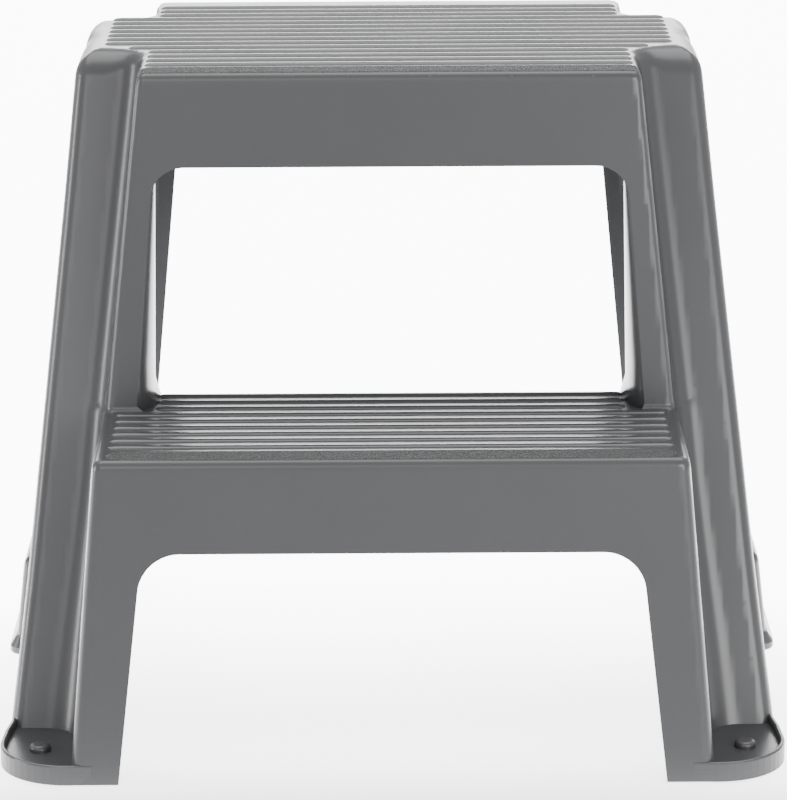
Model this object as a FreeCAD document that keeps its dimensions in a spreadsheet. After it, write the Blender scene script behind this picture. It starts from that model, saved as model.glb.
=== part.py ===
import FreeCAD, Part
import os
import Sketcher

# Two-step stool: one moulded polypropylene body and four push-in rubber feet.
# Frame: origin on the floor under the middle of the stool, +Z up, front towards -Y,
# +X to the right as seen from the front. Millimetres.

SIZES = {
    # whole stool
    "depth": 405.0,
    "wall": 2.5,
    "base_gap": 1.0,
    "top_plane": 400.5,
    "step_plane": 195.5,
    # tapering faces: place at floor level, and how far they lean in per mm of height
    "core_half": 232.4,
    "core_lean": 0.1022,
    "column_front": 75.0,
    "column_lean": 0.345,
    "core_back": 345.0,
    "core_back_lean": 0.02,
    "leg_half": 192.0,
    "leg_lean": 0.1,
    "lower_front": 0.0,
    "lower_front_lean": 0.082,
    "upper_front": 104.6,
    "upper_front_lean": 0.0932,
    "back_face": 405.0,
    "back_lean": 0.0457,
    # where the front and the back form end, inside the core
    "heart": 40.0,
    "upper_start": 155.5,
    # rounded edges of the outer form
    "shoulder_radius": 14.0,
    "valley_radius": 11.0,
    "corner_radius": 7.0,
    "rim_radius": 4.5,
    "step_radius": 4.0,
    # openings: half width at floor level, lean, top, corner radius, and where they
    # start and stop behind the front
    "lower_gap_half": 162.5,
    "lower_gap_lean": 0.1137,
    "lower_gap_top": 140.2,
    "lower_gap_radius": 22.0,
    "lower_gap_start": -10.0,
    "lower_gap_stop": 50.0,
    "upper_gap_half": 169.2,
    "upper_gap_lean": 0.0755,
    "upper_gap_top": 343.9,
    "upper_gap_radius": 19.0,
    "upper_gap_start": 100.0,
    "upper_gap_stop": 160.0,
    "back_gap_half": 172.2,
    "back_gap_lean": 0.1027,
    "back_gap_top": 344.0,
    "back_gap_radius": 20.0,
    "back_gap_start": 352.0,
    "back_gap_stop": 420.0,
    "arch_front": 112.0,
    "arch_back": 226.0,
    "arch_lean": 0.345,
    "arch_top": 118.0,
    "arch_radius": 24.0,
    "arch_inner": 200.0,
    "arch_outer": 257.8,
    # lower tread runs on inside the body; its return walls
    "step_back": 161.3,
    "run_on_front": 118.0,
    "run_on_inset": 20.0,
    "return_half_low": 145.4,
    "return_half_high": 141.5,
    "return_back_high": 141.5,
    "return_bite": 2.25,
    # anti-slip ribs
    "rib_pitch": 14.0,
    "rib_width": 6.0,
    "rib_rise": 1.5,
    "rib_round": 1.2,
    "rib_root": 0.5,
    "top_rib_first": 170.3,
    "step_rib_first": 46.0,
    "top_rib_half": 176.7,
    "top_rib_half_shoulder": 161.0,
    "top_rib_half_narrow": 148.0,
    "step_rib_half": 166.8,
    "step_rib_half_narrow": 143.0,
    # stiffening ribs under the treads
    "stiffener_depth": 12.0,
    "stiffener_wall": 2.0,
    "stiffener_bite": 0.2,
    "top_grid_half": 190.0,
    "top_grid_front": 142.0,
    "top_grid_back": 370.0,
    "step_grid_half": 172.0,
    "step_grid_front": 17.0,
    # boots on the lower back legs
    "boot_front": 238.0,
    "boot_back": 333.0,
    "boot_half": 244.4,
    "boot_lean": 0.115,
    "boot_top": 66.0,
    "boot_round": 6.0,
    # foot plates with their raised rims
    "plate_top": 8.5,
    "plate_lip_top": 13.0,
    "lip_wall": 3.0,
    "front_foot_half": 235.5,
    "front_foot_back": 86.0,
    "front_foot_rear": 80.0,
    "back_foot_half": 240.0,
    "foot_corner": 43.0,
    "cup_corner": 40.0,
    "plate_set": 0.3,
    "plate_lap": 8.0,
    "side_lap": 1.2,
    "lip_reach": 9.0,
    # heels of the boots: an upright band and a slope up to the boot's side
    "heel_half": 247.8,
    "heel_front": 233.5,
    "heel_band": 6.0,
    "heel_round": 10.0,
    "heel_rise": 12.0,
    # rubber feet
    "plug_side": 211.7,
    "front_plug": 39.6,
    "back_plug_side": 214.0,
    "back_plug": 375.0,
    "pad_radius": 15.0,
    "stem_radius": 3.8,
    "hole_slack": 0.1,
    "head_radius": 6.5,
    "head_rise": 4.0,
    "head_round": 2.6,
}
TOP_RIBS = 15
TOP_RIBS_NARROW_FRONT = 4
TOP_RIBS_NARROW_BACK = 3
STEP_RIBS = 8
STEP_RIBS_WIDE = 6

# how near counts as the same place, how near counts as beside, and a long edge
SAME = 0.01
BESIDE = 1.0
LONG = 100.0

doc = FreeCAD.newDocument("step_stool")
sheet = doc.addObject("Spreadsheet::Sheet", "sizes")
for row, (alias, value) in enumerate(SIZES.items(), 1):
    sheet.set(f"A{row}", alias)
    sheet.set(f"B{row}", str(value))
    sheet.setAlias(f"B{row}", alias)
doc.recompute()


def ref(text):
    """An expression over the sheet's aliases, written with their plain names."""
    for alias in sorted(SIZES, key=len, reverse=True):
        text = text.replace("$" + alias, "<<sizes>>." + alias)
    return text


def size(alias):
    return float(sheet.get(alias))


def bind(item, **expressions):
    for prop, text in expressions.items():
        item.setExpression(prop.replace("__", "."), ref(text))


def along(base, lean, level, sign="+"):
    """Y of a face that leans: its distance behind the front, moved with height."""
    return f"({base} {sign} {lean} * ({level}) - $depth / 2)"


def half(base, lean, level):
    return f"({base} - {lean} * ({level}))"


def tapered_block(name, levels, x_low, x_high, y_low, y_high):
    """A block with level ends and leaning sides; every argument is an expression."""
    block = doc.addObject("Part::Wedge", name)
    block.Placement.Rotation = FreeCAD.Rotation(FreeCAD.Vector(1, 0, 0), 90)
    # the wedge's own Y is height and its own Z is minus depth
    bind(
        block,
        Xmin=x_low[0],
        Xmax=x_low[1],
        X2min=x_high[0],
        X2max=x_high[1],
        Ymin=levels[0],
        Ymax=levels[1],
        Zmin=f"-{y_low[1]}",
        Zmax=f"-{y_low[0]}",
        Z2min=f"-{y_high[1]}",
        Z2max=f"-{y_high[0]}",
    )
    return block


def mirrored(low):
    return (f"-{low}", low)


PLANES = {
    # how a drawing plane is turned, which way a prism over it grows, its place's axis
    "level": (FreeCAD.Rotation(), FreeCAD.Vector(0, 0, 1), "z"),
    "facing": (FreeCAD.Rotation(FreeCAD.Vector(1, 0, 0), 90), FreeCAD.Vector(0, 1, 0), "y"),
    "sideways": (FreeCAD.Rotation(0.5, 0.5, 0.5, 0.5), FreeCAD.Vector(1, 0, 0), "x"),
}


def outline(name, corners, place, plane="level"):
    """A closed polygon in a plane, each corner held by two sized constraints."""
    sketch = doc.addObject("Sketcher::SketchObject", name)
    count = len(corners)
    starts = [FreeCAD.Vector(n, n * n, 0) for n in range(count)]
    stops = starts[1:] + starts[:1]
    sketch.addGeometry([Part.LineSegment(a, b) for a, b in zip(starts, stops)])
    for n in range(count):
        joint = Sketcher.Constraint("Coincident", n, 2, (n + 1) % count, 1)
        sketch.addConstraint(joint)
    for n, (x, y) in enumerate(corners):
        for kind, text in (("DistanceX", x), ("DistanceY", y)):
            at = sketch.addConstraint(Sketcher.Constraint(kind, -1, 1, n, 1, 1.0))
            sketch.setExpression(f"Constraints[{at}]", ref(text))
    turn, _, axis = PLANES[plane]
    sketch.Placement.Rotation = turn
    sketch.setExpression(f"Placement.Base.{axis}", ref(place))
    return sketch


def prism(name, corners, start, stop, plane="level"):
    """A straight solid over a polygon, between two places along its plane's axis."""
    solid = doc.addObject("Part::Extrusion", name)
    solid.Base = outline(name + "_outline", corners, start, plane)
    solid.DirMode = "Custom"
    solid.Dir = PLANES[plane][1]
    solid.Solid = True
    bind(solid, LengthFwd=f"{stop} - ({start})")
    return solid


def box(name, x, y, z):
    """A level box between three pairs of expressions."""
    solid = doc.addObject("Part::Box", name)
    bind(
        solid,
        Length=f"{x[1]} - ({x[0]})",
        Width=f"{y[1]} - ({y[0]})",
        Height=f"{z[1]} - ({z[0]})",
        Placement__Base__x=x[0],
        Placement__Base__y=y[0],
        Placement__Base__z=z[0],
    )
    return solid


def fused(name, items):
    whole = doc.addObject("Part::MultiFuse", name)
    whole.Shapes = items
    whole.Refine = True
    return whole


def cut(name, base, tool):
    rest = doc.addObject("Part::Cut", name)
    rest.Base = base
    rest.Tool = tool
    rest.Refine = True
    return rest


def ends(edge):
    return [v.Point for v in edge.Vertexes]


def rounded(name, base, choose, alias):
    """Round the edges of base that the rule picks, with one radius from the sheet."""
    doc.recompute()
    item = doc.addObject("Part::Fillet", name)
    item.Base = base
    radius = size(alias)
    picked = [n for n, edge in enumerate(base.Shape.Edges, 1) if choose(edge)]
    if not picked:
        raise RuntimeError(name + " found no edge to round")
    item.Edges = [(n, radius, radius) for n in picked]
    return item


def is_level(edge, level):
    return all(abs(p.z - level) < SAME for p in ends(edge))


def is_upright(edge, rise=BESIDE):
    heights = [p.z for p in ends(edge)]
    return max(heights) - min(heights) > rise


def side_name(sign):
    return "right" if sign > 0 else "left"


def across(sign, inner, outer):
    """An X range on one side of the stool, from an inner to an outer half width."""
    if sign > 0:
        return (inner, outer)
    return (f"-({outer})", f"-({inner})")


BASE = "$base_gap"
TOP = "$top_plane"
STEP = "$step_plane"


def outer_form():
    """The body's outside as one solid, before it is hollowed."""
    core = tapered_block(
        "core",
        (BASE, TOP),
        mirrored(half("$core_half", "$core_lean", BASE)),
        mirrored(half("$core_half", "$core_lean", TOP)),
        (
            along("$column_front", "$column_lean", BASE),
            along("$core_back", "$core_back_lean", BASE, "-"),
        ),
        (
            along("$column_front", "$column_lean", TOP),
            along("$core_back", "$core_back_lean", TOP, "-"),
        ),
    )
    low = "$upper_start"
    upper = tapered_block(
        "upper_front",
        (low, TOP),
        mirrored(half("$leg_half", "$leg_lean", low)),
        mirrored(half("$leg_half", "$leg_lean", TOP)),
        (along("$upper_front", "$upper_front_lean", low), "$heart"),
        (along("$upper_front", "$upper_front_lean", TOP), "$heart"),
    )
    lower = tapered_block(
        "lower_front",
        (BASE, STEP),
        mirrored(half("$leg_half", "$leg_lean", BASE)),
        mirrored(half("$leg_half", "$leg_lean", STEP)),
        (along("$lower_front", "$lower_front_lean", BASE), "$heart"),
        (along("$lower_front", "$lower_front_lean", STEP), "$heart"),
    )
    back = tapered_block(
        "back",
        (BASE, TOP),
        mirrored(half("$leg_half", "$leg_lean", BASE)),
        mirrored(half("$leg_half", "$leg_lean", TOP)),
        ("$heart", along("$back_face", "$back_lean", BASE, "-")),
        ("$heart", along("$back_face", "$back_lean", TOP, "-")),
    )
    blocks = [core, upper, lower, back] + [boot(sign) for sign in SIDES]
    return fused("outer_form", blocks)


def boot(sign):
    """The proud lower part of a back leg's side."""
    low = across(sign, "$leg_half", half("$boot_half", "$boot_lean", BASE))
    high = across(sign, "$leg_half", half("$boot_half", "$boot_lean", "$boot_top"))
    depth = ("($boot_front - $depth / 2)", "($boot_back - $depth / 2)")
    return tapered_block(
        "boot_" + side_name(sign), (BASE, "$boot_top"), low, high, depth, depth
    )


def is_shoulder(edge):
    """The top edge along a side, between the two corner columns."""
    half_width = size("core_half") - size("core_lean") * size("top_plane")
    return is_level(edge, size("top_plane")) and all(
        abs(abs(p.x) - half_width) < SAME for p in ends(edge)
    )


def is_boot_edge(edge):
    """An edge of a boot that stands clear of the wall and of the floor."""
    points = ends(edge)
    middle = (points[0] + points[-1]) * 0.5
    wall_half = size("core_half") - size("core_lean") * middle.z
    off_floor = max(p.z for p in points) > size("base_gap") + BESIDE
    return abs(middle.x) > wall_half + BESIDE and off_floor


def is_valley(edge):
    """An upright inner corner, where a column meets the front or back form."""
    top = max(ends(edge), key=lambda p: p.z)
    high = size("top_plane")
    column = size("column_front") + size("column_lean") * high - size("depth") / 2
    back = size("core_back") - size("core_back_lean") * high - size("depth") / 2
    inner = is_upright(edge, LONG) and abs(top.x) < size("leg_half")
    return inner and min(abs(top.y - column), abs(top.y - back)) < 2 * BESIDE


def is_corner(edge):
    """An upright outer corner of the front and back forms."""
    on_leg = all(
        abs(p.x) < size("leg_half") - size("leg_lean") * p.z + BESIDE
        for p in ends(edge)
    )
    return on_leg and is_upright(edge, LONG) and not is_valley(edge)


def is_rim(edge):
    """The edge right round the top, and down the outer edge of each column."""
    outermost = all(
        abs(abs(p.x) - size("core_half") + size("core_lean") * p.z) < SAME
        for p in ends(edge)
    )
    return is_level(edge, size("top_plane")) or (outermost and is_upright(edge, LONG))


def is_step_rim(edge):
    """The front and side edges of the lower tread."""
    front = size("upper_front") - size("depth") / 2
    return is_level(edge, size("step_plane")) and min(p.y for p in ends(edge)) < front


def hollowed(form):
    """The outer form as a shell of even wall, open underneath."""
    doc.recompute()
    floor = [
        f"Face{n}"
        for n, face in enumerate(form.Shape.Faces, 1)
        if all(abs(v.Z - size("base_gap")) < SAME for v in face.Vertexes)
    ]
    shell = doc.addObject("Part::Thickness", "shell")
    shell.Faces = (form, floor)
    bind(shell, Value="-$wall")
    return shell


def opening_top(edge, level, axis):
    """An edge at the top of an opening that runs along the way through it."""
    first, last = ends(edge)[0], ends(edge)[-1]
    return is_level(edge, level) and abs(first[axis] - last[axis]) > BESIDE


def gap(name, bottom):
    """A tapering opening in a front or back wall, with round upper corners."""
    top = f"${name}_top"
    low = half(f"${name}_half", f"${name}_lean", bottom)
    high = half(f"${name}_half", f"${name}_lean", top)
    corners = [(f"-{low}", bottom), (low, bottom), (high, top), (f"-{high}", top)]
    start, stop = (f"(0 - $depth / 2) + ${name}_{end}" for end in ("start", "stop"))
    block = prism(name + "_block", corners, start, stop, "facing")
    level = size(name + "_top")
    return rounded(
        name, block, lambda edge: opening_top(edge, level, 1), name + "_radius"
    )


def openings():
    gaps = [gap("lower_gap", "0"), gap("upper_gap", STEP), gap("back_gap", "0")]
    return gaps + [arch(sign) for sign in SIDES]


def arch(sign):
    """The opening in a side wall, between the front and the back leg."""
    front = "$arch_front - $depth / 2"
    back = "$arch_back - $depth / 2"
    corners = [
        (front, "0"),
        (back, "0"),
        (f"{back} - $arch_lean / 3 * $arch_top", "$arch_top"),
        (f"{front} + $arch_lean * $arch_top", "$arch_top"),
    ]
    name = "arch_" + side_name(sign)
    reach = across(sign, "$arch_inner", "$arch_outer")
    block = prism(name + "_block", corners, reach[0], reach[1], "sideways")
    level = size("arch_top")
    return rounded(
        name, block, lambda edge: opening_top(edge, level, 0), "arch_radius"
    )


def return_wall(sign):
    """The wall that runs back from an upper leg's inner edge to the tread's end."""
    flip = "" if sign > 0 else "-"

    def section(name, level, back_half, back):
        edge_half = half("$upper_gap_half", "$upper_gap_lean", level)
        start = along("$upper_front", "$upper_front_lean", level) + " + $return_bite"
        stop = f"{back} - $depth / 2"
        corners = [
            (f"{flip}{edge_half}", start),
            (f"{flip}{back_half}", stop),
            (f"{flip}({back_half} + $wall)", stop),
            (f"{flip}({edge_half} + $wall)", start),
        ]
        return outline(name, corners, level)

    name = "return_wall_" + side_name(sign)
    low = section(name + "_low", "($step_plane - 1)", "$return_half_low", "$step_back")
    high = section(
        name + "_high", "$upper_gap_top", "$return_half_high", "$return_back_high"
    )
    wall = doc.addObject("Part::Loft", name)
    wall.Sections = [low, high]
    wall.Solid = True
    wall.Ruled = True
    return wall


def stiffeners(name, plane, half_width, depths, across_count, along_count):
    """A grid of thin upright ribs under a tread, hanging from its underside."""
    underside = f"{plane} - $wall"
    levels = (f"{underside} - $stiffener_depth", f"{underside} + $stiffener_bite")
    start, stop = depths
    parts = []
    for n in range(across_count):
        share = (n + 1) / (across_count + 1)
        place = f"({start} + ({stop} - ({start})) * {share:.4f})"
        depth = (f"{place} - $stiffener_wall / 2", f"{place} + $stiffener_wall / 2")
        width = (f"-{half_width}", half_width)
        parts.append(box(f"{name}_cross_{n + 1}", width, depth, levels))
    for n in range(along_count):
        share = 2 * (n + 0.5) / along_count - 1
        place = f"({half_width} * {share:.4f})"
        width = (f"{place} - $stiffener_wall / 2", f"{place} + $stiffener_wall / 2")
        parts.append(box(f"{name}_long_{n + 1}", width, (start, stop), levels))
    return parts


def inner_parts(form):
    """What lies inside the shell: the tread's run-on, return walls and stiffeners."""
    front = "(0 - $depth / 2)"
    run_on = box(
        "step_run_on",
        ("-$leg_half + $run_on_inset", "$leg_half - $run_on_inset"),
        (f"{front} + $run_on_front", f"{front} + $step_back"),
        ("$step_plane - $wall", STEP),
    )
    parts = [run_on] + [return_wall(sign) for sign in SIDES]
    top_depths = (f"{front} + $top_grid_front", f"{front} + $top_grid_back")
    step_depths = (f"{front} + $step_grid_front", f"{front} + $step_back")
    parts += stiffeners("top_stiffener", TOP, "$top_grid_half", top_depths, 4, 6)
    parts += stiffeners("step_stiffener", STEP, "$step_grid_half", step_depths, 2, 6)
    inside = doc.addObject("Part::MultiCommon", "inner_parts")
    inside.Shapes = [form, fused("inner_grid", parts)]
    return inside


def tread_rib(name, n, first, half_width, plane):
    """One anti-slip rib, with its upper edges rounded."""
    place = f"({first} + $rib_pitch * {n} - $depth / 2)"
    bar = box(
        f"{name}_bar_{n + 1}",
        (f"-{half_width}", half_width),
        (f"{place} - $rib_width / 2", f"{place} + $rib_width / 2"),
        (f"{plane} - $rib_root", f"{plane} + $rib_rise"),
    )
    crest = size(plane[1:]) + size("rib_rise")
    return rounded(
        f"{name}_{n + 1}", bar, lambda edge: is_level(edge, crest), "rib_round"
    )


def tread_ribs():
    """The raised anti-slip ribs of both treads, shorter where a tread is narrow."""
    ribs = []
    for n in range(TOP_RIBS):
        width = "$top_rib_half"
        if n < TOP_RIBS_NARROW_FRONT or n >= TOP_RIBS - TOP_RIBS_NARROW_BACK:
            width = "$top_rib_half_narrow"
        elif n == TOP_RIBS_NARROW_FRONT:
            width = "$top_rib_half_shoulder"
        ribs.append(tread_rib("top_rib", n, "$top_rib_first", width, TOP))
    for n in range(STEP_RIBS):
        wide = n < STEP_RIBS_WIDE
        width = "$step_rib_half" if wide else "$step_rib_half_narrow"
        ribs.append(tread_rib("step_rib", n, "$step_rib_first", width, STEP))
    return ribs


def foot_plan(kind, sign, inset, reach):
    """The outline of a foot plate, drawn in by an inset and run on into the leg."""
    flip = "" if sign > 0 else "-"
    inner = f"$leg_half - $plate_lap - {reach}"
    if kind == "front":
        rear = f"$front_foot_rear + {reach}"
        corners = [
            (inner, f"$plate_set + {inset}"),
            (f"$front_foot_half - {inset}", f"$plate_set + {inset}"),
            (f"$front_foot_half - {inset}", "$foot_corner + $lip_wall"),
            (f"$core_half - $side_lap - {inset}", "$front_foot_back"),
            (f"$core_half - 2 * $side_lap - {inset}", rear),
            (inner, rear),
        ]
    else:
        face = f"$back_face - $plate_set - {inset}"
        start = f"$boot_back + 3 * {inset}"
        rear = f"$core_back - 2 * $side_lap - {reach} / 3"
        corners = [
            (inner, face),
            (f"$back_foot_half - {inset}", face),
            (f"$back_foot_half - {inset}", start),
            ("$core_half - 2 * $side_lap", start),
            ("$core_half - 2 * $side_lap", rear),
            (inner, rear),
        ]
    return [(f"{flip}({x})", f"{y} - $depth / 2") for x, y in corners]


def foot_plate(kind, sign):
    """A ledge beside a leg with a raised rim, hollow underneath."""
    name = f"{kind}_plate_{side_name(sign)}"
    whole = prism(name + "_block", foot_plan(kind, sign, "0", "0"), BASE, "$plate_lip_top")
    above = prism(
        name + "_above",
        foot_plan(kind, sign, "$lip_wall", "$lip_reach"),
        "$plate_top",
        "($plate_lip_top + 1)",
    )
    below = prism(
        name + "_below",
        foot_plan(kind, sign, "$lip_wall", "0"),
        "0",
        "($plate_top - $wall)",
    )

    def is_outer(edge):
        corner_half = size("front_foot_half" if kind == "front" else "back_foot_half")
        point = ends(edge)[0]
        outward = abs(point.x) > corner_half - size("lip_wall") - BESIDE
        reach = size("depth") / 2 - size("lip_wall") - BESIDE
        return outward and is_upright(edge) and abs(point.y) > reach

    solid = rounded(name + "_round", whole, is_outer, "foot_corner")
    solid = cut(name + "_cupped", solid, rounded(name + "_cup", above, is_outer, "cup_corner"))
    return cut(name, solid, rounded(name + "_well", below, is_outer, "cup_corner"))


def heel(sign):
    """The flared foot of a boot: a rounded band, with a slope up to the boot's side."""
    name = "heel_" + side_name(sign)
    flip = "" if sign > 0 else "-"
    inner, outer = f"{flip}($core_half + $wall)", f"{flip}$heel_half"
    front = "$heel_front - $depth / 2"
    back = "$boot_back - $depth / 2"
    corners = [(inner, front), (outer, front), (outer, back), (inner, back)]
    block = prism(name + "_block", corners, BASE, "$heel_band")

    def is_front_corner(edge):
        point = ends(edge)[0]
        outward = abs(point.x) > size("heel_half") - BESIDE
        in_front = point.y < size("boot_front") - size("depth") / 2
        return outward and is_upright(edge) and in_front

    band = rounded(name + "_band", block, is_front_corner, "heel_round")
    foot_front = "$boot_front - $depth / 2"
    slope = tapered_block(
        name + "_slope",
        ("$heel_band", "$heel_rise"),
        across(sign, "$core_half", "$heel_half - $plate_set"),
        across(sign, "$core_half", half("$boot_half", "$boot_lean", "$heel_rise")),
        (f"({foot_front})", f"({back})"),
        (f"({foot_front})", f"({back})"),
    )
    return [band, slope]


def post(name, radius, x, y, low, high):
    """An upright round bar."""
    bar = doc.addObject("Part::Cylinder", name)
    bind(
        bar,
        Radius=radius,
        Height=f"{high} - ({low})",
        Placement__Base__x=x,
        Placement__Base__y=y,
        Placement__Base__z=low,
    )
    return bar


def plug_place(kind, sign):
    flip = "" if sign > 0 else "-"
    if kind == "front":
        return (f"{flip}$plug_side", "$front_plug - $depth / 2")
    return (f"{flip}$back_plug_side", "$back_plug - $depth / 2")


def stool_body():
    form = outer_form()
    for name, rule, radius in (
        ("boot_edges", is_boot_edge, "boot_round"),
        ("shoulders", is_shoulder, "shoulder_radius"),
        ("valleys", is_valley, "valley_radius"),
        ("corners", is_corner, "corner_radius"),
        ("rims", is_rim, "rim_radius"),
        ("step_rims", is_step_rim, "step_radius"),
    ):
        form = rounded(name, form, rule, radius)
    shell = cut("opened_shell", hollowed(form), fused("openings", openings()))
    added = [inner_parts(form)] + tread_ribs()
    holes = []
    for sign in SIDES:
        added += heel(sign)
        for kind in KINDS:
            added.append(foot_plate(kind, sign))
            x, y = plug_place(kind, sign)
            name = f"{kind}_hole_{side_name(sign)}"
            radius = "$stem_radius + $hole_slack"
            holes.append(post(name, radius, x, y, "0", "$plate_top + 2"))
    whole = fused("body_without_holes", [shell] + added)
    body = cut("stool_body", whole, fused("plug_holes", holes))
    body.Label = "stool_body"
    return body


def rubber_foot(kind, sign):
    """A push-in foot: a pad under the plate, a stem, and a domed head above it."""
    name = f"{kind}_{side_name(sign)}_foot"
    x, y = plug_place(kind, sign)
    pad = post(name + "_pad", "$pad_radius", x, y, "0", "($plate_top - $wall)")
    stem = post(name + "_stem", "$stem_radius", x, y, "1", "($plate_top + 1)")
    head = post(
        name + "_head", "$head_radius", x, y, "$plate_top", "($plate_top + $head_rise)"
    )
    head_top = size("plate_top") + size("head_rise")
    dome = rounded(
        name + "_dome", head, lambda edge: is_level(edge, head_top), "head_round"
    )
    foot = fused(name, [pad, stem, dome])
    foot.Label = name
    return foot


SIDES = (-1, 1)
KINDS = ("front", "back")
nodes = [stool_body()] + [rubber_foot(kind, sign) for kind in KINDS for sign in SIDES]
doc.recompute()

for item in doc.Objects:
    if "Invalid" in item.State or "Error" in item.State:
        raise RuntimeError(f"{item.Name} failed: {item.State}")
for node in nodes:
    if node.Shape.isNull() or not node.Shape.isValid():
        raise RuntimeError(node.Label + " has no valid shape")

os.makedirs("parts", exist_ok=True)
for node in nodes:
    node.Shape.exportStep(f"parts/{node.Label}.step")
    box_of = node.Shape.BoundBox
    print(node.Label, len(node.Shape.Solids), round(node.Shape.Volume), box_of)
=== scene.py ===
import math

import bpy
import numpy as np
from mathutils import Matrix, Vector


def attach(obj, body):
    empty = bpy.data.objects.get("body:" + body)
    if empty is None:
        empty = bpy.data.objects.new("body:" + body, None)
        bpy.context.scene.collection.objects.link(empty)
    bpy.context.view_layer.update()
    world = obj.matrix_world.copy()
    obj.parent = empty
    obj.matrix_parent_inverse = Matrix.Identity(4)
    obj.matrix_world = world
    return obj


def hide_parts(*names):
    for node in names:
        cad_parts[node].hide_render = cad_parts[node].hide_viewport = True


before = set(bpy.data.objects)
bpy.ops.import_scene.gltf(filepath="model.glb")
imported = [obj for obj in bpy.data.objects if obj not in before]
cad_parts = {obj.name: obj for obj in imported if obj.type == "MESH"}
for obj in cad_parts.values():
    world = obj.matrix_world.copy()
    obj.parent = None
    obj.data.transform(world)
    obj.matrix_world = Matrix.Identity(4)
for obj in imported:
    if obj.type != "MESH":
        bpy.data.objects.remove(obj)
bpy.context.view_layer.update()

# The row frame: front towards -Y, +X to the right, +Z up. The shapes below are sized
# in millimetres behind the stool's front, and turned into metres when they are built.
DEPTH = 405.0
WALL = 2.5
BASE, STEP, TOP = 1.0, 195.5, 400.5
SIDES = (-1, 1)

# Faces of the outside. Each is a place at floor height and a lean, in mm a mm of height,
# then the radius of the edge between it and what is already there.
CORE_HALF, CORE_LEAN = 232.6, 0.1022
COLUMN_FRONT, COLUMN_LEAN, COLUMN_ROUND = 75.0, 0.345, 9.0
CORE_BACK, CORE_BACK_LEAN, CORE_BACK_ROUND = 345.0, 0.02, 8.0
UPPER_HALF, UPPER_SIDE_LEAN = 194.1, 0.107
UPPER_FRONT, UPPER_FRONT_LEAN, UPPER_FRONT_ROUND = 104.6, 0.0932, 4.5
UPPER_BACK_LEAN, UPPER_BACK_ROUND = 0.035, 10.0
LOWER_HALF, LOWER_SIDE_LEAN = 191.5, 0.087
LOWER_FRONT_LEAN, LOWER_FRONT_ROUND, STEP_ROUND = 0.082, 6.5, 5.0

# the sides spread a little at the floor and at the top
FLOOR_FLARE, FLOOR_FLARE_TOP = 1.3, 110.0
TOP_FLARE, TOP_FLARE_START = 0.6, 300.0

# where the two pairs of legs meet each other, and the fillets beside the columns
UPPER_LEGS_DOWN_TO, UPPER_LEGS_START, LOWER_LEGS_STOP = STEP - 6, 230.0, 240.0
LEG_SEAM = 2.0
COLUMN_FILLET, COLUMN_FILLET_GROWTH, COLUMN_FILLET_TOP = 14.0, 7.0, 170.0

# the edge round the top: its radius in front, what the shoulders add from one half width to
# another, and what the back lacks from one depth to another
TOP_ROUND = 5.0
SHOULDER_ROUND, SHOULDER_START, SHOULDER_STOP = 10.0, 148.0, 176.0
BACK_EDGE_LESS, BACK_EDGE_START, BACK_EDGE_STOP = 3.0, 360.0, 380.0

# the shallow inset of each side, between the columns
PANEL_SET, PANEL_FADE = 1.3, 16.0
PANEL_FRONT, PANEL_BACK, PANEL_BASE = 126.0, 312.0, 122.0

# boots low on the sides
BOOT_HALF, BOOT_LEAN, BOOT_ROUND, BOOT_SEAM = 244.4, 0.115, 6.0, 2.5
BOOT_FRONT, BOOT_BACK, BOOT_TOP, BOOT_INSIDE = 238.0, 333.0, 66.0, 200.0

# openings in the front and the back: half width at floor height, lean, top and corner
LOWER_GAP = (162.5, 0.1137, 140.2, 22.0)
UPPER_GAP = (169.2, 0.0755, 343.9, 19.0)
BACK_GAP = (170.5, 0.0972, 344.0, 20.0)
BACK_GAP_FLARE, BACK_GAP_FLARE_TOP = 3.0, 100.0
LOWER_GAP_DEPTH = 60.0
UPPER_GAP_BASE, UPPER_GAP_DEPTHS = STEP + 0.2, (95.0, 175.0)
BACK_GAP_FRONT = 352.0

# arches in the sides
ARCH_FRONT, ARCH_BACK, ARCH_BACK_LEAN, ARCH_EDGE = 112.0, 226.0, 0.115, 2.0
ARCH_TOP, ARCH_ROUND, ARCH_INSIDE = 118.0, 24.0, 150.0

# the moulding's mesh: the box it is looked for in, its cell, and how near an edge is snapped
MESH_LOW, MESH_HIGH, MESH_CELL = (-256, -212, -8), (256, 212, 408), 3.6
SNAP = 0.8

# ribs of the two treads: where the first one lies, and how far each reaches to a side
PITCH = 14.0
TOP_RIBS = {"first": 170.3, "halves": [148.0] * 4 + [161.0] + [176.7] * 7 + [148.0] * 3}
STEP_RIBS = {"first": 46.0, "halves": [166.8] * 6 + [143.0] * 3}
RIB_HALF, RIB_RISE, RIB_SUNK, RIB_END, RIB_POWER = 3.6, 1.5, 0.15, 5.0, 2.6

# stippled strips along the treads' front edges: middle behind the stool's front
TOP_STIPPLE, STEP_STIPPLE = 154.0, 29.0
STIPPLE_HALF, STIPPLE_REACH = 9.0, 158.0

# the walls from the upper legs back under the top, and the lower tread's run-on between them
RETURN_EDGE, RETURN_HALF, RETURN_TOP = 169.9, 145.0, 344.4
RETURN_NARROWS, RETURN_LEANS_FORWARD, RETURN_FOOT = 3.9, 19.5, 4.0
RUN_ON_HALF, RUN_ON_FRONT, STEP_BACK = 171.0, 120.0, 161.3

# stiffening ribs under each tread: level, half width, depths, rows across
STIFFENERS = ((TOP, 147, (142, 372), 4), (STEP, 166, (19, 160), 2))
STIFFENER_DEPTH, STIFFENER_HALF, STIFFENERS_ALONG = 12, 1, 6

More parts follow.
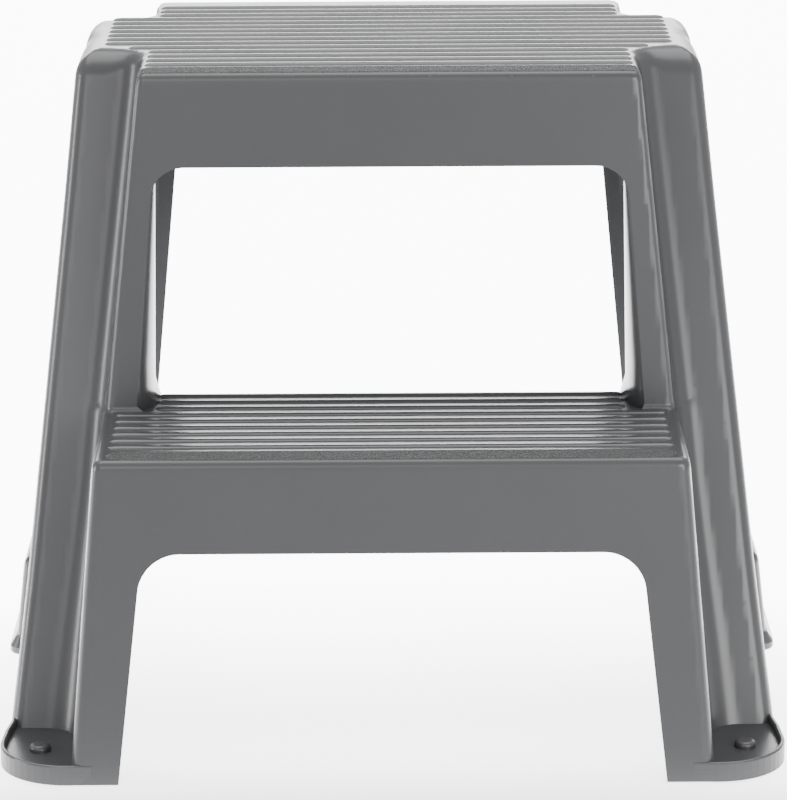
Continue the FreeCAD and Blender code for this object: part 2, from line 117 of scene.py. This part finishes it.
# ledges at the feet: the plates' undersides and tops, and sections as (inward, height)
PLATE_LEVELS, PLATE_INSET, PLATE_INSIDE = (6.0, 8.5), 1.0, 180.0
LIP = [(0, 1), (0, 12), (0.4, 12.7), (1.1, 13), (1.9, 13), (2.6, 12.7), (3, 12), (3, 1)]
HEEL = [(0.6, 1), (0, 2), (0, 5.4), (0.7, 6.6), (4.0, 12), (7, 12), (7, 1)]


# ---- distance functions: negative inside -------------------------------------------


def both(a, b, radius):
    """Inside both, with the edge between them rounded."""
    over = np.hypot(np.maximum(a + radius, 0), np.maximum(b + radius, 0))
    return np.minimum(np.maximum(a, b), -radius) + over


def either(a, b, radius):
    """Inside either, with the inner corner between them filled to a radius."""
    under = np.hypot(np.maximum(radius - a, 0), np.maximum(radius - b, 0))
    return np.maximum(np.minimum(a, b), radius) - under


def leaning(offset, lean):
    """A distance across a face that leans, from the offset along one axis."""
    return offset / math.sqrt(1 + lean * lean)


def ramp(value, start, stop):
    """Zero before start and one past stop, with soft ends; start may be the larger."""
    share = np.clip((value - start) / (stop - start), 0, 1)
    return share * share * (3 - 2 * share)


def split(points):
    """Half width, distance behind the front, and height."""
    return np.abs(points[..., 0]), points[..., 1] + DEPTH / 2, points[..., 2]


def side_panel(y, z):
    """How far the wall between the two corner columns is set in."""
    start = PANEL_FRONT + COLUMN_LEAN * z
    front = ramp(y, start, start + PANEL_FADE)
    back = 1 - ramp(y, PANEL_BACK - PANEL_FADE, PANEL_BACK)
    return PANEL_SET * front * back * ramp(z, PANEL_BASE, PANEL_BASE + PANEL_FADE)


def core_form(x, y, z):
    """The main hollow block, with a leaning column at each front corner."""
    flare = FLOOR_FLARE * ramp(z, FLOOR_FLARE_TOP, 0.0) + TOP_FLARE * ramp(z, TOP_FLARE_START, TOP)
    side = leaning(x - CORE_HALF - flare + CORE_LEAN * z, CORE_LEAN) + side_panel(y, z)
    form = both(side, leaning(COLUMN_FRONT + COLUMN_LEAN * z - y, COLUMN_LEAN), COLUMN_ROUND)
    back = leaning(y - CORE_BACK + CORE_BACK_LEAN * z, CORE_BACK_LEAN)
    return both(form, back, CORE_BACK_ROUND)


def leg_form(x, y, z):
    """The upper legs, which run through to the back, and the lower ones under the step."""
    upper = leaning(x - UPPER_HALF + UPPER_SIDE_LEAN * z, UPPER_SIDE_LEAN)
    front = leaning(UPPER_FRONT + UPPER_FRONT_LEAN * z - y, UPPER_FRONT_LEAN)
    upper = both(upper, front, UPPER_FRONT_ROUND)
    upper = both(upper, leaning(y - DEPTH + UPPER_BACK_LEAN * z, UPPER_BACK_LEAN), UPPER_BACK_ROUND)
    upper = np.maximum(upper, np.minimum(UPPER_LEGS_DOWN_TO - z, UPPER_LEGS_START - y))
    lower = leaning(x - LOWER_HALF + LOWER_SIDE_LEAN * z, LOWER_SIDE_LEAN)
    lower = both(lower, leaning(LOWER_FRONT_LEAN * z - y, LOWER_FRONT_LEAN), LOWER_FRONT_ROUND)
    lower = both(np.maximum(lower, y - LOWER_LEGS_STOP), z - STEP, STEP_ROUND)
    return either(upper, lower, LEG_SEAM)


def boot_form(x, y, z):
    """The boot low on each side, beside the back leg."""
    form = both(leaning(x - BOOT_HALF + BOOT_LEAN * z, BOOT_LEAN), BOOT_FRONT - y, BOOT_ROUND)
    form = both(both(form, y - BOOT_BACK, BOOT_ROUND), z - BOOT_TOP, BOOT_ROUND)
    return np.maximum(form, BOOT_INSIDE - x)


def outer_form(points):
    """The moulding's outside, open to the floor."""
    x, y, z = split(points)
    fillet = COLUMN_FILLET + COLUMN_FILLET_GROWTH * ramp(z, COLUMN_FILLET_TOP, 0.0)
    form = either(core_form(x, y, z), leg_form(x, y, z), fillet)
    form = either(form, boot_form(x, y, z), BOOT_SEAM)
    shoulder = SHOULDER_ROUND * ramp(x, SHOULDER_START, SHOULDER_STOP)
    back = BACK_EDGE_LESS * ramp(y, BACK_EDGE_START, BACK_EDGE_STOP)
    return both(form, z - TOP, TOP_ROUND + shoulder - back)


def gap(points, half, lean, top, radius):
    """An opening between two legs: a leaning side on each hand, and a rounded top."""
    x, _, z = split(points)
    return both(leaning(x - half + lean * z, lean), z - top, radius)


def off_floor(points):
    """Positive above the level where the moulding ends."""
    return points[..., 2] - BASE


def openings(points):
    """Positive where the moulding has wall, negative in its openings."""
    x, y, z = split(points)
    half, lean, top, radius = BACK_GAP
    back = gap(points, half + BACK_GAP_FLARE * ramp(z, BACK_GAP_FLARE_TOP, 0.0), lean, top, radius)
    arch = leaning(ARCH_FRONT + COLUMN_LEAN * z - y, COLUMN_LEAN)
    arch = both(arch, leaning(y - ARCH_BACK + ARCH_BACK_LEAN * z, ARCH_BACK_LEAN), ARCH_EDGE)
    arch = both(arch, z - ARCH_TOP, ARCH_ROUND)
    upper = np.maximum(gap(points, *UPPER_GAP), UPPER_GAP_BASE - z)
    start, stop = UPPER_GAP_DEPTHS
    holes = [
        np.maximum(gap(points, *LOWER_GAP), y - LOWER_GAP_DEPTH),
        np.maximum(upper, np.maximum(start - y, y - stop)),
        np.maximum(back, BACK_GAP_FRONT - y),
        np.maximum(arch, ARCH_INSIDE - x),
    ]
    return np.minimum.reduce(holes)


def slope(distance, points, step=0.05):
    """The gradient of a distance function, in its own units."""
    parts = []
    for axis in range(3):
        shift = np.zeros(3)
        shift[axis] = step
        parts.append((distance(points + shift) - distance(points - shift)) / (2 * step))
    return np.stack(parts, axis=-1)


def settled(distance, points, rounds=3):
    """Points moved onto the zero level."""
    for _ in range(rounds):
        way = slope(distance, points)
        size = np.maximum((way * way).sum(axis=-1), 0.05)
        points = points - (distance(points) / size)[:, None] * way
    return points


# ---- meshes -------------------------------------------------------------------------


def net(distance, low, high, cell):
    """A quad mesh of the zero level: one point in each grid cell that it crosses."""
    axes = [np.arange(a, b + cell, cell) for a, b in zip(low, high)]
    grid = np.stack(np.meshgrid(*axes, indexing="ij"), axis=-1)
    inside = distance(grid) < 0
    corners = sum(
        inside[i : i - 1 or None, j : j - 1 or None, k : k - 1 or None].astype(np.int8)
        for i in (0, 1)
        for j in (0, 1)
        for k in (0, 1)
    )
    mixed = (corners > 0) & (corners < 8)
    number = np.full(mixed.shape, -1)
    number[mixed] = np.arange(mixed.sum())
    points = grid[:-1, :-1, :-1][mixed] + cell / 2
    quads = []
    for axis in range(3):
        first = np.moveaxis(inside, axis, 0)
        cells = np.moveaxis(number, axis, 0)
        here, there = first[:-1, 1:-1, 1:-1], first[1:, 1:-1, 1:-1]
        ring = [cells[:, :-1, :-1], cells[:, 1:, :-1], cells[:, 1:, 1:], cells[:, :-1, 1:]]
        if axis == 1:
            ring.reverse()
        for crossed, order in ((here & ~there, ring), (~here & there, ring[::-1])):
            quads.append(np.stack([part[crossed] for part in order], axis=-1))
    return points, np.concatenate(quads)


def evened(distance, points, quads, rounds=3):
    """The same mesh with its points spread evenly over the surface."""
    pairs = np.concatenate([quads[:, [n, (n + 1) % 4]] for n in range(4)])
    for _ in range(rounds):
        total = np.zeros_like(points)
        count = np.zeros(len(points))
        np.add.at(total, pairs[:, 0], points[pairs[:, 1]])
        np.add.at(count, pairs[:, 0], 1)
        joined = count > 0
        points[joined] += 0.5 * (total[joined] / count[joined, None] - points[joined])
        points = settled(distance, points, 2)
    return points


def trimmed(distance, keep, points, faces):
    """Faces cut off where keep is negative, with a clean edge on the surface."""
    value = keep(points)
    near = np.abs(value) < SNAP
    for _ in range(4):
        points[near] = settled(distance, settled(keep, points[near], 1), 1)
    value[near] = 0
    made = {}
    extra = []
    kept = []
    for face in faces:
        if all(value[n] >= 0 for n in face):
            kept.append(tuple(face))
            continue
        if all(value[n] < 0 for n in face):
            continue
        loop = []
        for a, b in zip(face, list(face[1:]) + [face[0]]):
            if value[a] >= 0:
                loop.append(a)
            if value[a] * value[b] < 0:
                key = (min(a, b), max(a, b))
                if key not in made:
                    share = value[a] / (value[a] - value[b])
                    extra.append(points[a] + (points[b] - points[a]) * share)
                    made[key] = len(points) + len(extra) - 1
                loop.append(made[key])
        if len(loop) > 2:
            kept.append(tuple(loop))
    edge = np.array(extra).reshape(-1, 3)
    for _ in range(4):
        edge = settled(keep, edge, 1)
        edge = settled(distance, edge, 1)
    return np.concatenate([points, edge]), kept


def as_object(name, points, faces):
    """A mesh object from points in millimetres."""
    mesh = bpy.data.meshes.new(name)
    mesh.from_pydata([tuple(p) for p in np.asarray(points) * 0.001], [], faces)
    mesh.update()
    item = bpy.data.objects.new(name, mesh)
    bpy.context.scene.collection.objects.link(item)
    return item


def moulded_shell():
    """The body's even wall: the outer surface, a second one inside it, and their edges."""
    points, quads = net(outer_form, MESH_LOW, MESH_HIGH, MESH_CELL)
    points = settled(outer_form, points, 4)
    points = evened(outer_form, points, quads)
    faces = [tuple(int(n) for n in quad) for quad in quads]
    for keep in (off_floor, openings):
        points, faces = trimmed(outer_form, keep, points, faces)
    used = sorted({n for face in faces for n in face})
    place = {n: at for at, n in enumerate(used)}
    points = points[used]
    faces = [tuple(place[n] for n in face) for face in faces]
    normals = slope(outer_form, points)
    normals /= np.linalg.norm(normals, axis=1)[:, None]
    count = len(points)
    edges = {(a, b): True for face in faces for a, b in zip(face, face[1:] + face[:1])}
    rims = [(b, a, a + count, b + count) for a, b in edges if (b, a) not in edges]
    inner = [tuple(n + count for n in reversed(face)) for face in faces]
    shell = as_object(
        "moulded_body", np.concatenate([points, points - WALL * normals]), faces + inner + rims
    )
    shell.data.shade_smooth()
    smooth = np.concatenate([normals, -normals])
    loops = np.zeros(len(shell.data.loops), dtype=np.int32)
    shell.data.loops.foreach_get("vertex_index", loops)
    given = smooth[loops]
    # a zero normal leaves Blender's own, which is what the narrow rims between the sheets get
    sheet_loops = sum(len(face) for face in faces) * 2
    given[sheet_loops:] = 0
    shell.data.normals_split_custom_set([tuple(v) for v in given])
    return shell


def rib_mesh(spec, level, points, faces):
    """Soft anti-slip ribs across a tread, dying away at both ends."""
    profile = [-1.0, -0.92, -0.75, -0.5, -0.2, 0.2, 0.5, 0.75, 0.92, 1.0]
    for n, reach in enumerate(spec["halves"]):
        middle = spec["first"] + PITCH * n - DEPTH / 2
        turns = np.linspace(0, 1.5, 6)
        ends = [(reach - RIB_END + RIB_END * math.sin(u), math.cos(u)) for u in turns]
        stations = [(-x, s) for x, s in reversed(ends)] + ends
        start = len(points)
        for x, share in stations:
            for t in profile:
                rise = RIB_RISE * share * (1 - abs(t) ** RIB_POWER)
                half = RIB_HALF * (0.5 + 0.5 * share)
                points.append((x, middle + half * t, level - RIB_SUNK + rise))
        across = len(profile)
        for a in range(len(stations) - 1):
            for b in range(across - 1):
                at = start + a * across + b
                faces.append((at, at + across, at + across + 1, at + 1))


def box_mesh(x, y, z, points, faces):
    """A box between three pairs; y is behind the front."""
    start = len(points)
    points += [(a, b - DEPTH / 2, c) for a in x for b in y for c in z]
    ends = ((0, 1, 3, 2), (4, 6, 7, 5))
    sides = ((0, 4, 5, 1), (2, 3, 7, 6), (0, 2, 6, 4), (1, 5, 7, 3))
    for quad in ends + sides:
        faces.append(tuple(start + n for n in quad))


def bent(start, corner, stop, count=9):
    """Points along a curve that leaves start towards corner and comes in to stop."""
    start, corner, stop = (np.array(spot) for spot in (start, corner, stop))
    shares = np.linspace(0, 1, count)[:, None]
    return start * (1 - shares) ** 2 + corner * 2 * shares * (1 - shares) + stop * shares**2


def return_walls():
    """The curved walls that lead from the upper legs' inner edges back under the top."""
    points, faces = [], []
    _, upper_lean, _, _ = UPPER_GAP
    levels = np.linspace(STEP - 1, RETURN_TOP, 12)
    for sign in SIDES:
        first = len(points)
        for z in levels:
            rise = (z - STEP) / (RETURN_TOP - STEP)
            edge = RETURN_EDGE - upper_lean * z
            front = UPPER_FRONT + UPPER_FRONT_LEAN * z + 0.2
            foot = RETURN_FOOT * ramp(z, STEP + 8.0, STEP)
            tail = RETURN_HALF - RETURN_NARROWS * rise - foot
            back = STEP_BACK - RETURN_LEANS_FORWARD * rise
            corner = (tail, front + 0.2 * (back - front))
            for x, y in bent((edge, front), corner, (tail, back)):
                points.append((sign * x, y - DEPTH / 2, z))
        row = (len(points) - first) // len(levels)
        for a in range(len(levels) - 1):
            for b in range(row - 1):
                at = first + a * row + b
                quad = (at, at + row, at + row + 1, at + 1)
                faces.append(quad[::sign])
    walls = as_object("return_walls", points, faces)
    walls.data.shade_smooth()
    thick = walls.modifiers.new("thickness", "SOLIDIFY")
    thick.thickness = WALL / 1000
    thick.offset = -1.0
    return walls


def inner_walls():
    """What shows inside the shell: the lower tread's run-on and the stiffeners."""
    points, faces = [], []
    width, depths = (-RUN_ON_HALF, RUN_ON_HALF), (RUN_ON_FRONT, STEP_BACK)
    box_mesh(width, depths, (STEP - WALL, STEP - 0.05), points, faces)
    for level, half, depths, rows in STIFFENERS:
        heights = (level - WALL - STIFFENER_DEPTH, level - WALL + 0.3)
        for n in range(rows):
            y = depths[0] + (depths[1] - depths[0]) * (n + 1) / (rows + 1)
            across = (y - STIFFENER_HALF, y + STIFFENER_HALF)
            box_mesh((-half, half), across, heights, points, faces)
        for n in range(STIFFENERS_ALONG):
            x = half * (2 * (n + 0.5) / STIFFENERS_ALONG - 1)
            along = (x - STIFFENER_HALF, x + STIFFENER_HALF)
            box_mesh(along, depths, heights, points, faces)
    return as_object("inner_walls", points, faces)


def arc(centre, radius, start, stop, count=14):
    """Points along an arc between two angles in degrees."""
    turns = np.radians(np.linspace(start, stop, count))
    return [(centre[0] + radius * math.cos(t), centre[1] + radius * math.sin(t)) for t in turns]


def swept(path, section, sign, points, faces):
    """A section of (inward offset, height) pairs run along a plan path beside a leg."""
    path = np.array(path)
    along = np.gradient(path, axis=0)
    along /= np.linalg.norm(along, axis=1)[:, None]
    inward = np.stack([-along[:, 1], along[:, 0]], axis=1)
    start, count = len(points), len(section)
    for spot, way in zip(path, inward):
        for offset, z in section:
            x, y = spot + way * offset
            points.append((sign * x, y - DEPTH / 2, z))
    for a in range(len(path) - 1):
        for b in range(count):
            c = (b + 1) % count
            quad = [start + a * count + b, start + (a + 1) * count + b]
            quad += [start + (a + 1) * count + c, start + a * count + c]
            faces.append(tuple(quad[::sign]))
    for cap in (range(count), reversed(range(len(path) * count - count, len(path) * count))):
        faces.append(tuple([start + n for n in cap][::sign]))


def feet():
    """The ledges beside the legs with their raised lips, and the heels of the boots."""
    points, faces = [], []
    front = [(178, 0.6), (186, 0.1)] + arc((192.6, 42.8), 43.0, -90, 0)
    front += [(234.6, 64), (231.6, 86)]
    back = [(240, BOOT_BACK)] + arc((197, 361.6), 43.0, 0, 90) + [(188, 404.6), (180, 404.2)]
    heel = [(226, 234), (232, 234)] + arc((237.8, 244), 10.0, -90, 0)
    heel += [(247.8, 290), (247.8, 334)]
    for sign in SIDES:
        # the lips round the feet, each with the plate that it holds
        for path in (front, back):
            swept(path, LIP, sign, points, faces)
            rear = path[-1][1] if path is front else BOOT_BACK
            plate = path + [(PLATE_INSIDE, rear)]
            start = len(points)
            for z in PLATE_LEVELS:
                for x, y in plate:
                    points.append((sign * (x - PLATE_INSET), y - DEPTH / 2, z))
            count = len(plate)
            faces.append(tuple([start + count + n for n in range(count)][::sign]))
            faces.append(tuple([start + n for n in reversed(range(count))][::sign]))
        swept(heel, HEEL, sign, points, faces)
    return as_object("feet_ledges", points, faces)


# ---- materials ----------------------------------------------------------------------


class Shading:
    """A Principled material whose detail is built from nodes in object space."""

    def __init__(self, name):
        self.material = bpy.data.materials.new(name)
        self.material.use_nodes = True
        self.tree = self.material.node_tree
        self.shader = self.tree.nodes["Principled BSDF"]
        self.place = self.node("ShaderNodeTexCoord").outputs["Object"]

    def node(self, kind, **inputs):
        """A new node with the named inputs set or joined."""
        made = self.tree.nodes.new(kind)
        for name, value in inputs.items():
            self.feed(value, made.inputs[name])
        return made

    def feed(self, value, socket):
        """Joins a socket to another, or sets its value."""
        if isinstance(value, bpy.types.NodeSocket):
            self.tree.links.new(value, socket)
        else:
            socket.default_value = value

    def noise(self, scale, detail=2.0, roughness=0.5):
        """Soft noise, with its scale in cycles a metre."""
        made = self.node("ShaderNodeTexNoise", Vector=self.place, Scale=scale, Detail=detail)
        made.inputs["Roughness"].default_value = roughness
        return made.outputs["Fac"]

    def specks(self, scale):
        """Distance from the middle of small cells, for grain and pits."""
        made = self.node("ShaderNodeTexVoronoi", Vector=self.place, Scale=scale)
        return made.outputs["Distance"]

    def sum_of(self, how, *values):
        """A math node of the named operation on the values."""
        made = self.node("ShaderNodeMath")
        made.operation = how
        for value, socket in zip(values, made.inputs):
            self.feed(value, socket)
        return made.outputs[0]

    def between(self, value, low, high, start=0.0, stop=1.0):
        """A value carried softly from low and high over to start and stop."""
        made = self.node("ShaderNodeMapRange")
        made.interpolation_type = "SMOOTHSTEP"
        for socket, given in zip(made.inputs, (value, low, high, start, stop)):
            self.feed(given, socket)
        return made.outputs[0]

    def blend(self, share, one, other):
        """One colour turning into another with the share."""
        made = self.node("ShaderNodeMix")
        made.data_type = "RGBA"
        # the node's colour sockets come after its plain and vector ones
        self.feed(share, made.inputs[0])
        self.feed(one, made.inputs[6])
        self.feed(other, made.inputs[7])
        return made.outputs[2]

    def bump(self, height, strength, distance, before=None):
        """A bumped normal, on top of an earlier one if it is given."""
        made = self.node("ShaderNodeBump", Height=height, Strength=strength, Distance=distance)
        if before is not None:
            self.feed(before, made.inputs["Normal"])
        return made.outputs["Normal"]

    def finish(self, **inputs):
        """Feeds the shader, with underscores for the spaces in socket names."""
        for name, value in inputs.items():
            self.feed(value, self.shader.inputs[name.replace("_", " ")])
        return self.material


def stippled_strip(shading, middle, level):
    """One on a round-ended strip that runs across a tread, else zero."""
    axes = shading.node("ShaderNodeSeparateXYZ", Vector=shading.place).outputs
    aside = shading.sum_of("ABSOLUTE", axes["X"])
    past_end = shading.sum_of("SUBTRACT", aside, STIPPLE_REACH / 1000)
    past_end = shading.sum_of("MAXIMUM", past_end, 0.0)
    off_line = shading.sum_of("SUBTRACT", axes["Y"], (middle - DEPTH / 2) / 1000)
    away = shading.node("ShaderNodeCombineXYZ", X=past_end, Y=off_line)
    length = shading.node("ShaderNodeVectorMath")
    length.operation = "LENGTH"
    shading.feed(away.outputs["Vector"], length.inputs[0])
    edge = STIPPLE_HALF / 1000
    inside = shading.between(length.outputs["Value"], edge - 0.0006, edge, 1.0, 0.0)
    on_tread = shading.between(axes["Z"], level * 0.001 - 0.004, level * 0.001 - 0.001)
    return shading.sum_of("MULTIPLY", inside, on_tread)


def plastic(name, smoothest, roughest):
    """Cool grey polypropylene, faintly wavy, with stippled bands on the treads."""
    shading = Shading(name)
    top = stippled_strip(shading, TOP_STIPPLE, TOP)
    step = stippled_strip(shading, STEP_STIPPLE, STEP)
    stippled = shading.sum_of("MAXIMUM", top, step)
    cloud = shading.noise(14.0, 3.0)
    colour = shading.blend(cloud, (0.037, 0.0376, 0.0398, 1), (0.041, 0.0416, 0.0438, 1))
    dust = shading.between(shading.noise(260.0, 3.0, 0.6), 0.6, 0.8, 0.0, 0.12)
    colour = shading.blend(dust, colour, (0.06, 0.06, 0.06, 1))
    grain = shading.specks(900.0)
    speckled = shading.blend(grain, (0.088, 0.09, 0.09, 1), (0.037, 0.038, 0.0385, 1))
    colour = shading.blend(stippled, colour, speckled)
    smear = shading.between(shading.noise(11.0, 4.0, 0.5), 0.3, 0.7, smoothest, roughest)
    rough = shading.sum_of("ADD", smear, shading.sum_of("MULTIPLY", stippled, 0.45))
    waves = shading.bump(shading.noise(16.0, 1.0), 0.03, 0.0012)
    peel = shading.bump(shading.noise(420.0, 2.0), 0.05, 0.0002, waves)
    pits = shading.sum_of("MULTIPLY", stippled, grain)
    normal = shading.bump(pits, 0.9, 0.001, peel)
    shine = shading.between(stippled, 0.0, 1.0, 0.4, 0.08)
    return shading.finish(
        Base_Color=colour, Roughness=rough, Normal=normal, Specular_IOR_Level=shine
    )


def rubber():
    """Dark grey rubber with a dull shine and a moulded grain."""
    shading = Shading("dark_rubber")
    cloud = shading.noise(160.0, 3.0)
    colour = shading.blend(cloud, (0.026, 0.026, 0.028, 1), (0.036, 0.036, 0.038, 1))
    rough = shading.between(shading.noise(60.0, 3.0), 0.3, 0.7, 0.3, 0.45)
    normal = shading.bump(shading.noise(700.0, 2.0), 0.2, 0.0004)
    return shading.finish(Base_Color=colour, Roughness=rough, Normal=normal)


# ---- room ---------------------------------------------------------------------------

# the camera in metres before the stool's front and above the floor, and degrees from straight down
CAMERA_DISTANCE, CAMERA_HEIGHT, CAMERA_PITCH = 2.217, 0.8573, 74.36

# the floor in metres: its glow is a painted pool of light, in place of the lamps' light on it;
# it grows in two steps towards the back and fades at the sides; each is given as from, to, and the
# values there
FLOOR_REACH = 14.0
PAINTED_LIGHT_STEPS = ((-0.3, -0.14, 0.0, 4.4), (-0.1, 0.2, 0.0, 4.5))
PAINTED_LIGHT_SIDE_FADE = (0.6, 1.3, 1.0, 0.15)


def look_camera():
    """The camera at the photograph's angle: a long lens, a little above the stool."""
    data = bpy.data.cameras.new("photo_camera")
    data.lens = 180.0
    data.sensor_width = 36.0
    data.clip_end = 50.0
    camera = bpy.data.objects.new("photo_camera", data)
    bpy.context.scene.collection.objects.link(camera)
    place = Matrix.Translation((-0.0017, -DEPTH / 2000 - CAMERA_DISTANCE, CAMERA_HEIGHT))
    aim = Matrix.Rotation(math.radians(-0.084), 4, "Z")
    pitch = Matrix.Rotation(math.radians(CAMERA_PITCH), 4, "X")
    roll = Matrix.Rotation(math.radians(-0.3), 4, "Z")
    camera.matrix_world = place @ aim @ pitch @ roll
    bpy.context.scene.camera = camera


def area_light(name, place, aim, size, power):
    """A white soft box at a place in metres, turned towards another."""
    data = bpy.data.lights.new(name, "AREA")
    data.shape = "RECTANGLE"
    data.size, data.size_y = size
    data.energy = power
    light = bpy.data.objects.new(name, data)
    bpy.context.scene.collection.objects.link(light)
    light.location = place
    aimed = (Vector(aim) - Vector(place)).to_track_quat("-Z", "Y")
    light.rotation_euler = aimed.to_euler()


def studio():
    """Soft boxes above, behind and before the stool, a strip on its left, and a pale room."""
    area_light("top_panel", (0.0, 0.7, 2.4), (0.0, 0.5, 0.0), (2.6, 1.8), 70.0)
    area_light("back_panel", (0.0, 3.4, 1.1), (0.0, 0.0, 0.4), (3.4, 0.66), 75.0)
    area_light("front_panel", (-1.1, -3.2, 2.0), (0.0, 0.0, 0.3), (2.0, 1.8), 41.0)
    area_light("left_strip", (-2.8, -0.1, 0.7), (0.0, 0.0, 0.3), (0.3, 1.2), 36.0)
    area_light("right_box", (1.6, -2.7, 0.9), (0.0, -0.1, 0.3), (1.8, 1.2), 84.0)
    world = bpy.data.worlds.new("studio")
    bpy.context.scene.world = world
    world.use_nodes = True
    background = world.node_tree.nodes["Background"]
    background.inputs["Color"].default_value = (1, 1, 1, 1)
    background.inputs["Strength"].default_value = 1.15


def floor():
    """A pale floor with a painted pool of light: it glows under and behind the stool, in place of
    lamp light there.
    """
    mesh = bpy.data.meshes.new("floor")
    far = FLOOR_REACH
    corners = [(-far, -far, 0), (far, -far, 0), (far, far, 0), (-far, far, 0)]
    mesh.from_pydata(corners, [], [(0, 1, 2, 3)])
    ground = bpy.data.objects.new("floor", mesh)
    bpy.context.scene.collection.objects.link(ground)
    shading = Shading("floor_painted_light_pool")
    axes = shading.node("ShaderNodeSeparateXYZ", Vector=shading.place).outputs
    # painted light: the floor's emission is a painted pool of light, brighter towards the back and
    # fading at the sides
    steps = [shading.between(axes["Y"], *step) for step in PAINTED_LIGHT_STEPS]
    painted_light = shading.sum_of("ADD", *steps)
    aside = shading.sum_of("ABSOLUTE", axes["X"])
    painted_light = shading.sum_of("MULTIPLY", painted_light, shading.between(aside, *PAINTED_LIGHT_SIDE_FADE))
    shading.finish(Roughness=0.7, Base_Color=(0.93, 0.93, 0.93, 1), Emission_Strength=painted_light)
    shading.finish(Emission_Color=(1, 1, 1, 1))
    mesh.materials.append(shading.material)


look_camera()
studio()
floor()
body_plastic = plastic("grey_polypropylene", 0.28, 0.31)
rib_plastic = plastic("glossy_ribs", 0.13, 0.17)
ribs = ([], [])
rib_mesh(TOP_RIBS, TOP, *ribs)
rib_mesh(STEP_RIBS, STEP, *ribs)
rib_item = as_object("tread_ribs", *ribs)
rib_item.data.shade_smooth()
for piece in (moulded_shell(), rib_item, return_walls(), inner_walls(), feet()):
    piece.data.materials.append(rib_plastic if piece is rib_item else body_plastic)
    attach(piece, "root")
    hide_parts("stool_body")
foot_rubber = rubber()
for name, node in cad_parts.items():
    node.data.materials.clear()
    node.data.materials.append(foot_rubber if name.endswith("_foot") else body_plastic)
